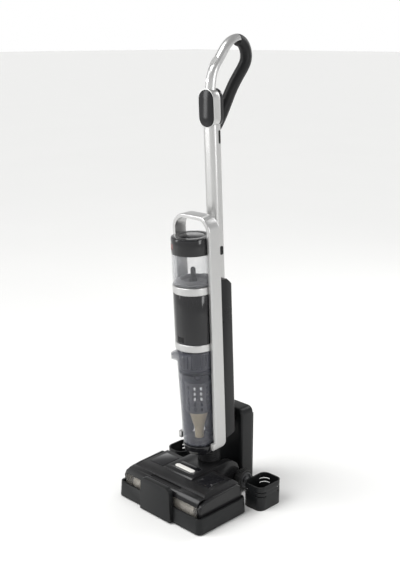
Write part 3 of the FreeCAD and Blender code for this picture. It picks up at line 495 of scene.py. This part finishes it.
class Paint(Enum):
    """Every finish on the object."""

    DOCK = Plastic("dock plastic", (0.0055, 0.006, 0.0065), 0.34, 0.2)
    BASKET = Plastic("basket plastic", (0.006, 0.0065, 0.007), 0.32, 0.15)
    CHASSIS = Plastic("chassis plastic", (0.007, 0.007, 0.0075), 0.46)
    MATTE = Plastic("matte black", (0.0055, 0.0055, 0.006), 0.5, 0.35)
    GRIP = Plastic("grip rubber", (0.006, 0.006, 0.0065), 0.45, 0.4, 1700.0)
    HUB = Plastic("hub plastic", (0.07, 0.071, 0.074), 0.38)
    GREY = Plastic("grey plastic", (0.10, 0.10, 0.105), 0.5)
    CREAM = Plastic("cream plastic", (0.50, 0.43, 0.30), 0.45, 0.1)
    WHITE = Plastic("white plastic", (0.62, 0.61, 0.58), 0.42, 0.1)
    BOARD = Plastic("circuit board", (0.02, 0.16, 0.06), 0.45, 0.1)
    WRAP = Plastic("cell wrap", (0.04, 0.12, 0.32), 0.35, 0.05)
    COVER = Plastic("cover paint", (0.0075, 0.0075, 0.008), 0.29, 0.06, 1800.0, 0.02, coat=0.12)
    BLACK = Gloss("gloss black", (0.006, 0.006, 0.007))
    LENS = Gloss("black lens", (0.003, 0.003, 0.004), 0.16, 0.05, 0.0)
    RED = Gloss("dark red", (0.16, 0.012, 0.010), 0.25)
    SILVER = Metal("silver paint", (0.56, 0.56, 0.555), 0.8, 0.3)
    BRIGHT = Metal("bright silver", (0.82, 0.82, 0.81), 0.85, 0.2)
    STEEL = Metal("brushed steel", (0.52, 0.52, 0.53), 1.0, 0.3, (1, 1, 30), 700.0)
    BRASS = Metal("contact metal", (0.72, 0.55, 0.25), 1.0, 0.25)
    ALLOY = Metal("alloy", (0.66, 0.66, 0.68), 1.0, 0.35)
    CLEAR = Clear("clear tank", (0.42, 0.43, 0.45), 0.08, 0.6)
    SMOKE = Clear("smoky tank", (0.12, 0.125, 0.15), 0.17, 0.85)
    WINDOW = Clear("tinted window", (0.16, 0.15, 0.135), 0.07, 0.7)
    # the second colour is painted shade between the tufts of the pile
    PILE = Pile("roller pile", (0.92, 0.88, 0.80), (0.46, 0.42, 0.36))
    TYRE = Rubber("tyre rubber", (0.014, 0.014, 0.014))
    SEAL = Rubber("seal rubber", (0.012, 0.012, 0.012), 0.6)
    FILTER = Rubber("filter felt", (0.04, 0.04, 0.045), 0.9)
    FLOOR = Floor("pale floor", (0.80, 0.80, 0.79))


class Palette:
    """Builds each finish once."""

    _made: dict[Paint, bpy.types.Material] = {}

    @classmethod
    def get(cls, paint: Paint) -> bpy.types.Material:
        """Gives the material for a finish.

        Args:
            paint: The finish.

        Returns:
            Its material.
        """
        if paint not in cls._made:
            cls._made[paint] = paint.value.build()
        return cls._made[paint]


def dress(obj: bpy.types.Object, paint: Paint) -> bpy.types.Object:
    """Gives a piece one finish, in place of whatever it had.

    Args:
        obj: The piece.
        paint: The finish.

    Returns:
        The same piece.
    """
    slots = obj.data.materials
    if len(slots):
        for i in range(len(slots)):
            slots[i] = Palette.get(paint)
    else:
        slots.append(Palette.get(paint))
    return obj


def smooth(obj: bpy.types.Object, angle: float = 32.0) -> bpy.types.Object:
    """Shades a piece smooth but for its sharp edges.

    Args:
        obj: The piece.
        angle: The sharpest angle that stays smooth, in degrees.

    Returns:
        The same piece.
    """
    Tool.only(obj)
    bpy.ops.object.shade_smooth_by_angle(angle=math.radians(angle))
    return obj


class Tool:
    """The modelling steps that the sub-assemblies share."""

    @staticmethod
    def only(obj: bpy.types.Object) -> None:
        """Selects one piece and makes it active.

        Args:
            obj: The piece.
        """
        if bpy.context.object and bpy.context.object.mode != "OBJECT":
            bpy.ops.object.mode_set(mode="OBJECT")
        bpy.ops.object.select_all(action="DESELECT")
        obj.hide_set(False)
        obj.select_set(True)
        bpy.context.view_layer.objects.active = obj

    @staticmethod
    def clear() -> None:
        """Deselects everything before a primitive is added."""
        if bpy.context.object and bpy.context.object.mode != "OBJECT":
            bpy.ops.object.mode_set(mode="OBJECT")
        bpy.ops.object.select_all(action="DESELECT")

    @staticmethod
    def pick(obj: bpy.types.Object, kind: str, chosen: Callable[[Any], bool]) -> None:
        """Selects parts of the mesh in edit mode.

        Args:
            obj: The piece, active and in edit mode.
            kind: VERT, EDGE or FACE.
            chosen: Tells whether a vertex, edge or face is wanted.
        """
        bpy.ops.mesh.select_mode(type=kind)
        bpy.ops.mesh.select_all(action="DESELECT")
        mesh = bmesh.from_edit_mesh(obj.data)
        parts = {"VERT": mesh.verts, "EDGE": mesh.edges, "FACE": mesh.faces}[kind]
        for part in parts:
            if chosen(part):
                part.select_set(True)
        mesh.select_flush_mode()
        bmesh.update_edit_mesh(obj.data)

    @staticmethod
    def settle(
        obj: bpy.types.Object, name: str, paint: Paint, body: Body, matrix: Matrix | None = None
    ) -> bpy.types.Object:
        """Stands a piece in its place, applies its transform, dresses it and lets it ride.

        Args:
            obj: The piece.
            name: Its name.
            paint: Its finish.
            body: The CAD body that it moves with.
            matrix: Where it stands in the row frame.

        Returns:
            The same piece.
        """
        Tool.only(obj)
        if matrix is not None:
            obj.matrix_world = matrix @ obj.matrix_world
        bpy.ops.object.transform_apply(location=True, rotation=True, scale=True)
        bpy.ops.object.mode_set(mode="EDIT")
        bpy.ops.mesh.select_all(action="SELECT")
        bpy.ops.mesh.normals_make_consistent(inside=False)
        bpy.ops.object.mode_set(mode="OBJECT")
        obj.name = name.replace(" ", "_")
        dress(obj, paint)
        smooth(obj)
        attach(obj, body.value)
        return obj

    @staticmethod
    def block(size: Point, centre: Point, bevel: float, segments: int = 3) -> bpy.types.Object:
        """Makes a block with rounded edges.

        Args:
            size: Its three sizes in millimetres.
            centre: Its centre in millimetres.
            bevel: The rounding in millimetres.
            segments: The steps in the rounding.

        Returns:
            The block.
        """
        Tool.clear()
        bpy.ops.mesh.primitive_cube_add(size=1.0, location=[c * MM for c in centre])
        obj = bpy.context.object
        obj.scale = [v * MM for v in size]
        bpy.ops.object.transform_apply(location=True, rotation=False, scale=True)
        bpy.ops.object.mode_set(mode="EDIT")
        bpy.ops.mesh.select_all(action="SELECT")
        bpy.ops.mesh.bevel(offset=bevel * MM, segments=segments, affect="EDGES")
        bpy.ops.object.mode_set(mode="OBJECT")
        return obj

    @staticmethod
    def pill(length: float, width: float, height: float, bevel: float) -> bpy.types.Object:
        """Makes a flat pill lying along x, standing on z = 0.

        Args:
            length: Its whole length in millimetres.
            width: Its width in millimetres.
            height: Its height in millimetres.
            bevel: The rounding of its top edge in millimetres.

        Returns:
            The pill.
        """
        Tool.clear()
        radius, reach = width / 2 * MM, (length - width) / 2 * MM
        bpy.ops.mesh.primitive_circle_add(vertices=32, radius=radius, fill_type="NGON", location=(0, 0, 0))
        obj = bpy.context.object
        bpy.ops.object.mode_set(mode="EDIT")
        for side in (-1, 1):
            Tool.pick(obj, "VERT", lambda v, k=side: v.co.x * k > 1e-6)
            bpy.ops.transform.translate(value=(side * reach, 0, 0))
        bpy.ops.mesh.select_all(action="SELECT")
        bpy.ops.mesh.extrude_region_move(TRANSFORM_OT_translate={"value": (0, 0, height * MM)})
        Tool.pick(obj, "EDGE", lambda e: all(v.co.z > height * MM * 0.9 for v in e.verts))
        bpy.ops.mesh.bevel(offset=bevel * MM, segments=3, affect="EDGES")
        bpy.ops.object.mode_set(mode="OBJECT")
        return obj

    @staticmethod
    def turned(profile: Iterable[tuple[float, float]], steps: int = 64) -> bpy.types.Object:
        """Makes a turned ring or drum about the z axis by extruding and resizing a circle.

        Args:
            profile: Pairs of radius and height in millimetres, round the section.
            steps: The number of sides.

        Returns:
            The closed piece.
        """
        Tool.clear()
        profile = list(profile)
        first_radius, first_height = profile[0]
        start = (0, 0, first_height * MM)
        bpy.ops.mesh.primitive_circle_add(vertices=steps, radius=first_radius * MM, location=start)
        obj = bpy.context.object
        bpy.ops.object.transform_apply(location=True, rotation=False, scale=False)
        bpy.ops.object.mode_set(mode="EDIT")
        bpy.ops.mesh.select_mode(type="VERT")
        bpy.ops.mesh.select_all(action="SELECT")
        before_radius, before_height = first_radius, first_height
        for radius, height in profile[1:] + profile[:1]:
            rise = (0, 0, (height - before_height) * MM)
            bpy.ops.mesh.extrude_region_move(TRANSFORM_OT_translate={"value": rise})
            ratio = radius / before_radius
            bpy.ops.transform.resize(value=(ratio, ratio, 1), center_override=(0, 0, height * MM))
            before_radius, before_height = radius, height
        bpy.ops.mesh.select_all(action="SELECT")
        bpy.ops.mesh.remove_doubles(threshold=0.00001)
        bpy.ops.mesh.normals_make_consistent(inside=False)
        bpy.ops.object.mode_set(mode="OBJECT")
        return obj

    @staticmethod
    def soften(node: str, width: float, segments: int = 3, angle: float = 32.0) -> None:
        """Rounds a CAD node's edges with modifiers, its own mesh left as it is.

        Args:
            node: The CAD node.
            width: The rounding in millimetres.
            segments: The steps in the rounding.
            angle: The sharpest edge that is left alone, in degrees.
        """
        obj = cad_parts[node]
        weld = obj.modifiers.new("weld", "WELD")
        weld.merge_threshold = 0.00001
        bevel = obj.modifiers.new("bevel", "BEVEL")
        bevel.width = width * MM
        bevel.segments = segments
        bevel.limit_method = "ANGLE"
        bevel.angle_limit = math.radians(angle)
        bevel.harden_normals = True


class Dresser:
    """Puts finishes on the CAD nodes that stay as they are."""

    FINISHES: dict[str, Paint] = {
        "dock_tray": Paint.DOCK, "dock_tower": Paint.DOCK, "dock_tower_back": Paint.MATTE,
        "dock_feet": Paint.SEAL, "dock_contacts": Paint.BRASS, "dc_inlet": Paint.MATTE, "basket_left": Paint.BASKET,
        "basket_right": Paint.BASKET, "head_chassis": Paint.CHASSIS, "head_cover": Paint.COVER,
        "head_light_bar": Paint.BRIGHT, "side_cap_left": Paint.COVER, "side_cap_right": Paint.COVER,
        "drive_motor": Paint.STEEL, "drive_belt": Paint.SEAL, "squeegee_blade": Paint.SEAL,
        "suction_duct": Paint.GREY, "cover_lip": Paint.COVER, "roller_window": Paint.WINDOW,
        "cover_latch": Paint.MATTE, "roller_core": Paint.GREY, "roller_sleeve": Paint.PILE,
        "roller_pulley": Paint.GREY, "motor_pulley": Paint.STEEL, "wheel_left_hub": Paint.HUB,
        "wheel_right_hub": Paint.HUB, "wheel_left_tyre": Paint.TYRE, "wheel_right_tyre": Paint.TYRE,
        "neck_yoke": Paint.MATTE, "body_base": Paint.BLACK, "column_shell": Paint.COVER,
        "column_back_cover": Paint.COVER, "battery_pack": Paint.WRAP, "circuit_board": Paint.BOARD,
        "water_pump": Paint.WHITE, "motor_housing": Paint.BLACK, "lower_ring": Paint.SILVER,
        "upper_ring": Paint.SILVER, "suction_motor": Paint.STEEL, "side_frame": Paint.SILVER,
        "impeller": Paint.ALLOY, "tank_release": Paint.MATTE, "clean_tank": Paint.CLEAR,
        "tank_valve": Paint.MATTE, "clean_tank_lid": Paint.BLACK, "lid_latch": Paint.RED,
        "dirty_tank": Paint.SMOKE, "standpipe": Paint.CREAM, "mesh_basket": Paint.GREY,
        "tank_filter": Paint.FILTER, "stick_tube": Paint.SILVER, "pod_rim": Paint.SILVER,
        "pod_lens": Paint.LENS, "pod_back": Paint.BLACK, "handle_cover": Paint.SILVER,
        "handle_grip": Paint.GRIP, "stick_button": Paint.MATTE, "power_button": Paint.BRIGHT,
        "mode_button": Paint.BRIGHT,
    }

    def build(self) -> int:
        """Dresses every CAD node.

        Returns:
            How many were dressed.
        """
        for name, paint in self.FINISHES.items():
            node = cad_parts[name]
            dress(node, paint)
            smooth(node, 28.0)
        self.line_handle()
        return len(self.FINISHES)

    def line_handle(self) -> None:
        """Gives the flat inner face of the silver handle cover the black of the grip."""
        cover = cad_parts["handle_cover"]
        cover.data.materials.append(Palette.get(Paint.GRIP))
        black = len(cover.data.materials) - 1
        for face in cover.data.polygons:
            inward = face.normal.y * 0.75 - face.normal.z * 0.65
            if abs(face.normal.x) < 0.06 and inward > 0.25:
                face.material_index = black


@dataclass
class Dock:
    """The charging dock: softened mouldings, basket rims and screws."""

    edge: float = 1.8
    screw_radius: float = 3.0
    plate_y: float = 288.0

    def soften(self) -> None:
        """Rounds the dock's mouldings."""
        for node in ("dock_tray", "dock_tower"):
            Tool.soften(node, self.edge)
        for node in ("basket_left", "basket_right"):
            Tool.soften(node, 0.7, 2)

    def screws(self, places: Frames) -> int:
        """Makes the domed screws on the tower's rear plate.

        Args:
            places: The frames.

        Returns:
            The number of screws.
        """
        spots = [(-36.0, 20.0), (36.0, 20.0), (-36.0, 184.0), (36.0, 184.0)]
        for number, (x, z) in enumerate(spots):
            outline = [(0.4, 0.0), (self.screw_radius, 0.0), (self.screw_radius, 0.5), (2.2, 1.2), (0.4, 1.3)]
            head = Tool.turned(outline, 24)
            hole = Matrix.Translation(places.dock(x, self.plate_y, z))
            stand = hole @ Matrix.Rotation(math.radians(-90), 4, "X")
            Tool.settle(head, f"tower screw {number}", Paint.STEEL, Body.DOCK, stand)
        return len(spots)

    def basket_bands(self, places: Frames) -> int:
        """Makes the raised rim round each basket's mouth.

        Args:
            places: The frames.

        Returns:
            The number of rims.
        """
        for node, body in (("basket_left", Body.LEFT_BASKET), ("basket_right", Body.RIGHT_BASKET)):
            low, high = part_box(node)
            middle = (low + high) / 2
            Tool.clear()
            bpy.ops.mesh.primitive_cube_add(size=1.0, location=(middle.x, middle.y, high.z - 0.0012))
            rim = bpy.context.object
            rim.scale = (high.x - low.x + 0.0008, high.y - low.y + 0.0008, 0.0024)
            bpy.ops.object.transform_apply(location=True, rotation=False, scale=True)
            bpy.ops.object.mode_set(mode="EDIT")
            Tool.pick(rim, "EDGE", lambda e: abs(e.verts[0].co.z - e.verts[1].co.z) > 0.001)
            corner = 0.0245 if body is Body.LEFT_BASKET else 0.0165
            bpy.ops.mesh.bevel(offset=corner, segments=8, affect="EDGES")
            for side in (-1, 1):
                Tool.pick(rim, "FACE", lambda f, k=side: f.normal.z * k > 0.9)
                bpy.ops.mesh.inset(thickness=0.0034)
            Tool.pick(rim, "FACE", lambda f: abs(f.normal.z) > 0.9 and f.calc_area() > 0.001)
            bpy.ops.mesh.bridge_edge_loops()
            bpy.ops.object.mode_set(mode="OBJECT")
            Tool.settle(rim, f"{node} rim", Paint.BASKET, body)
        return 2

    def build(self, places: Frames) -> int:
        """Builds the dock's pieces.

        Args:
            places: The frames.

        Returns:
            How many pieces were made.
        """
        self.soften()
        return self.screws(places) + self.basket_bands(places)


@dataclass
class Head:
    """The cleaning head: softened covers, ridged roller, light bar and trims."""

    roller_y: float = 44.0
    roller_z: float = 37.0
    rows: int = 58
    core: float = 19.1
    valley: float = 22.9
    crest: float = 23.9

    def soften(self) -> None:
        """Rounds the head's covers."""
        Tool.soften("head_cover", 2.2, 3, 25.0)
        Tool.soften("cover_lip", 0.8, 2)
        for node in ("side_cap_left", "side_cap_right"):
            Tool.soften(node, 3.2, 4)
        Tool.soften("cover_latch", 0.5, 2)

    def pile(self, places: Frames) -> int:
        """Makes the roller's pile as rows of soft ridges.

        Args:
            places: The frames.

        Returns:
            The number of pieces.
        """
        start, end = -108.0, 99.0
        step = (end - start) / self.rows
        profile = [(self.core, start)]
        for row in range(self.rows):
            left = start + row * step
            profile += [
                (self.valley, left + 0.02),
                (self.crest, left + step * 0.3),
                (self.crest + 0.05, left + step * 0.7),
            ]
        profile += [(self.valley, end), (self.core, end)]
        pile = Tool.turned(profile, 72)
        middle = Matrix.Translation(places.dock(0, self.roller_y, self.roller_z))
        stand = middle @ Matrix.Rotation(math.radians(90), 4, "Y")
        Tool.settle(pile, "roller pile", Paint.PILE, Body.ROLLER, stand)
        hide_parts("roller_sleeve")
        return 1

    def trims(self, places: Frames) -> int:
        """Makes the light bar's lens, the dark gloss strip behind it and the two fields beside the platform.

        Args:
            places: The frames.

        Returns:
            The number of pieces.
        """
        strip = Tool.pill(66.0, 13.0, 0.7, 0.3)
        stand = Matrix.Translation(places.dock(0, 110.5, 87.1))
        Tool.settle(strip, "sensor strip", Paint.LENS, Body.HEAD, stand)
        bar = Tool.pill(60.0, 13.2, 1.1, 0.5)
        stand = Matrix.Translation(places.dock(0, 92.0, 88.9))
        Tool.settle(bar, "light bar lens", Paint.WHITE, Body.HEAD, stand)
        made = 2
        for side in (-1, 1):
            field_panel = Tool.block((44.0, 56.0, 0.8), (0, 0, 0), 0.3, 2)
            tilt = Matrix.Rotation(math.radians(1.1), 4, "X")
            stand = Matrix.Translation(places.dock(side * 78.0, 98.0, 82.5)) @ tilt
            Tool.settle(field_panel, f"top field {side}", Paint.BLACK, Body.HEAD, stand)
            made += 1
        return made

    def build(self, places: Frames) -> int:
        """Builds the head's pieces.

        Args:
            places: The frames.

        Returns:
            How many pieces were made.
        """
        self.soften()
        return self.pile(places) + self.trims(places)


@dataclass
class Wheels:
    """The two rear wheels' bright rings and centre caps."""

    inner: float = 48.0
    width: float = 19.5
    y: float = 236.0
    z: float = 29.0

    def build(self, places: Frames) -> int:
        """Builds a ring and a cap on each wheel.

        Args:
            places: The frames.

        Returns:
            How many pieces were made.
        """
        made = 0
        for side, body in ((-1, Body.LEFT_WHEEL), (1, Body.RIGHT_WHEEL)):
            face = side * (self.inner + self.width)
            hub = Matrix.Translation(places.dock(face, self.y, self.z))
            stand = hub @ Matrix.Rotation(math.radians(90 * side), 4, "Y")
            outline = [(15.6, -0.6), (19.2, -0.6), (19.2, 0.4), (18.2, 0.9), (16.4, 0.9), (15.6, 0.3)]
            ring = Tool.turned(outline, 48)
            Tool.settle(ring, f"{body.value} ring", Paint.HUB, body, stand)
            cap = Tool.turned([(0.5, -0.8), (8.6, -0.8), (8.6, 0.2), (7.4, 0.9), (0.5, 1.1)], 40)
            Tool.settle(cap, f"{body.value} cap", Paint.HUB, body, stand)
            made += 2
        return made


@dataclass
class Machine:
    """The upright body: softened mouldings, seals, the neck's sleeve and the tanks' inner rings."""

    tank_y: float = -30.0
    seal_width: float = 2.2

    def ring_at(self, places: Frames, z: float) -> Matrix:
        """Gives the place of a ring round the tanks' axis.

        Args:
            places: The frames.
            z: Height up the machine in millimetres.

        Returns:
            The matrix in the row frame.
        """
        return places.machine_matrix() @ Matrix.Translation((0, self.tank_y * MM, z * MM))

    def soften(self) -> None:
        """Rounds the mouldings of the body."""
        Tool.soften("side_frame", 2.6, 4, 40.0)
        Tool.soften("column_shell", 1.4, 2)
        Tool.soften("body_base", 1.0, 2)
        Tool.soften("motor_housing", 0.5, 2)
        Tool.soften("clean_tank_lid", 0.6, 2)

    def seals(self, places: Frames) -> int:
        """Makes the dark seals between the stacked round parts.

        Args:
            places: The frames.

        Returns:
            The number of seals.
        """
        plan = [
            ("lower seal", 310.2, 46.9, Body.MACHINE), ("housing seal", 445.9, 47.9, Body.MACHINE),
            ("lid seal", 538.1, 47.3, Body.LID),
        ]
        for name, z, radius, body in plan:
            inner = radius - self.seal_width
            outline = [(inner, -0.5), (radius, -0.5), (radius + 0.4, 0.0), (radius, 0.5), (inner, 0.5)]
            Tool.settle(Tool.turned(outline), name, Paint.SEAL, body, self.ring_at(places, z))
        return len(plan)

    def collar(self, places: Frames) -> int:
        """Makes the folded gaiter round the neck.

        Args:
            places: The frames.

        Returns:
            The number of pieces.
        """
        profile = [(24.0, 3.0)]
        for fold in range(6):
            z = 4.0 + fold * 5.2
            profile += [(27.3, z), (27.6, z + 1.6), (27.3, z + 3.2), (26.4, z + 4.2)]
        profile += [(24.0, 36.0)]
        gaiter = Tool.turned(profile, 56)
        Tool.settle(gaiter, "neck sleeve", Paint.MATTE, Body.NECK, places.machine_matrix())
        return 1

    def tank_parts(self, places: Frames) -> int:
        """Makes the inner ring at each tank's foot and the collar inside the dirty tank.

        Args:
            places: The frames.

        Returns:
            The number of pieces.
        """
        ring = Tool.turned([(30.0, 0.0), (42.0, 0.0), (42.0, 5.0), (38.0, 8.0), (30.0, 9.0)])
        Tool.settle(ring, "clean tank foot", Paint.GREY, Body.CLEAN, self.ring_at(places, 467.2))
        collar = Tool.turned([(33.0, 0.0), (43.2, 0.0), (43.4, 6.0), (42.0, 9.0), (33.0, 9.0)])
        Tool.settle(collar, "filter collar", Paint.MATTE, Body.DIRTY, self.ring_at(places, 250.0))
        foot = Tool.turned([(11.4, 0.0), (34.0, 0.0), (34.0, 4.0), (30.0, 7.0), (11.4, 8.0)])
        Tool.settle(foot, "dirty tank foot", Paint.GREY, Body.DIRTY, self.ring_at(places, 70.0))
        return 3

    def build(self, places: Frames) -> int:
        """Builds the body's pieces.

        Args:
            places: The frames.

        Returns:
            How many pieces were made.
        """
        self.soften()
        return self.seals(places) + self.collar(places) + self.tank_parts(places)


@dataclass
class StickAndHandle:
    """The stick's strip and the pod's softened parts."""

    strip_spot: Point = (18.1, 50.0, 787.0)

    def build(self, places: Frames) -> int:
        """Builds the pieces.

        Args:
            places: The frames.

        Returns:
            How many pieces were made.
        """
        for node in ("pod_rim", "pod_back"):
            Tool.soften(node, 1.6, 3)
        Tool.soften("pod_lens", 0.7, 2)
        strip = Tool.pill(30.0, 6.0, 0.9, 0.4)
        spot = Matrix.Translation([v * MM for v in self.strip_spot])
        stand = places.machine_matrix() @ spot @ Matrix.Rotation(math.radians(90), 4, "Y")
        Tool.settle(strip, "stick strip", Paint.MATTE, Body.STICK, stand)
        return 1


@dataclass
class Studio:
    """The floor, the light and the camera."""

    eye: Point = (1.4060, -1.4183, 1.0814)
    azimuth: float = 44.86
    down: float = 15.39
    lens: float = 56.84
    room: tuple[float, float] = (1.0, 0.42)
    sun: tuple[float, float, float] = (55.0, -28.0, 2.45)
    lamps: Sequence[tuple[Point, float, float, float]] = field(default_factory=lambda: [
        ((2.3, -0.1, 1.2), 0.5, 15.0, 3.2),
        ((-1.7, -1.7, 1.3), 0.6, 16.0, 3.0),
        ((0.3, 1.9, 1.6), 0.9, 14.0, 1.6),
    ])

    def floor(self) -> bpy.types.Object:
        """Makes a large flat floor.

        Returns:
            The floor.
        """
        bpy.ops.object.select_all(action="DESELECT")
        bpy.ops.mesh.primitive_plane_add(size=2.0, location=(0, 0, 0))
        plane = bpy.context.object
        plane.name = "studio_floor"
        plane.scale = (60, 60, 1)
        bpy.ops.object.transform_apply(location=False, rotation=False, scale=True)
        return dress(plane, Paint.FLOOR)

    def light(self) -> None:
        """Adds soft lamps and a bright room."""
        for spot, size, power, tall in self.lamps:
            data = bpy.data.lights.new("softbox", "AREA")
            data.shape = "RECTANGLE"
            data.size, data.size_y = size, size * tall
            data.energy = power
            lamp = bpy.data.objects.new("softbox", data)
            bpy.context.scene.collection.objects.link(lamp)
            lamp.location = spot
            aim = Vector((0, 0, 0.5)) - Vector(spot)
            lamp.rotation_euler = aim.to_track_quat("-Z", "Y").to_euler()
        high, turn, strength = self.sun
        data = bpy.data.lights.new("key", "SUN")
        data.energy, data.angle = strength, math.radians(40)
        key = bpy.data.objects.new("key", data)
        bpy.context.scene.collection.objects.link(key)
        key.rotation_euler = (math.radians(90 - high), 0, math.radians(turn))
        self.air()

    def air(self) -> None:
        """Gives the room a bright skirt and a softer ceiling."""
        world = bpy.data.worlds.new("room")
        bpy.context.scene.world = world
        world.use_nodes = True
        tree = world.node_tree
        back = next(n for n in tree.nodes if n.bl_idname == "ShaderNodeBackground")
        coordinates = tree.nodes.new("ShaderNodeTexCoord")
        split = tree.nodes.new("ShaderNodeSeparateXYZ")
        height = tree.nodes.new("ShaderNodeMapRange")
        tree.links.new(coordinates.outputs["Generated"], split.inputs[0])
        tree.links.new(split.outputs["Z"], height.inputs["Value"])
        for name, value in zip(("From Min", "From Max", "To Min", "To Max"), (0.08, 0.5, *self.room)):
            height.inputs[name].default_value = value
        tree.links.new(height.outputs["Result"], back.inputs["Strength"])
        back.inputs["Color"].default_value = (1.0, 1.0, 1.0, 1.0)

    def camera(self) -> None:
        """Stands the camera."""
        data = bpy.data.cameras.new("camera")
        data.lens = self.lens
        camera = bpy.data.objects.new("camera", data)
        bpy.context.scene.collection.objects.link(camera)
        a, p = math.radians(self.azimuth), math.radians(self.down)
        look = Vector((-math.sin(a) * math.cos(p), math.cos(a) * math.cos(p), -math.sin(p)))
        camera.location = self.eye
        camera.rotation_euler = look.to_track_quat("-Z", "Y").to_euler()
        bpy.context.scene.camera = camera

    def build(self) -> None:
        """Sets up the whole studio."""
        self.floor()
        bpy.context.scene.view_settings.view_transform = "Standard"
        self.light()
        self.camera()


def main() -> None:
    """Builds every sub-assembly in order."""
    places = Frames()
    log.info("dressed %d CAD nodes", Dresser().build())
    for part in (Dock(), Head(), Wheels(), Machine(), StickAndHandle()):
        log.info("%s: %d pieces", type(part).__name__, part.build(places))
    Studio().build()


if __name__ == "__main__":
    main()
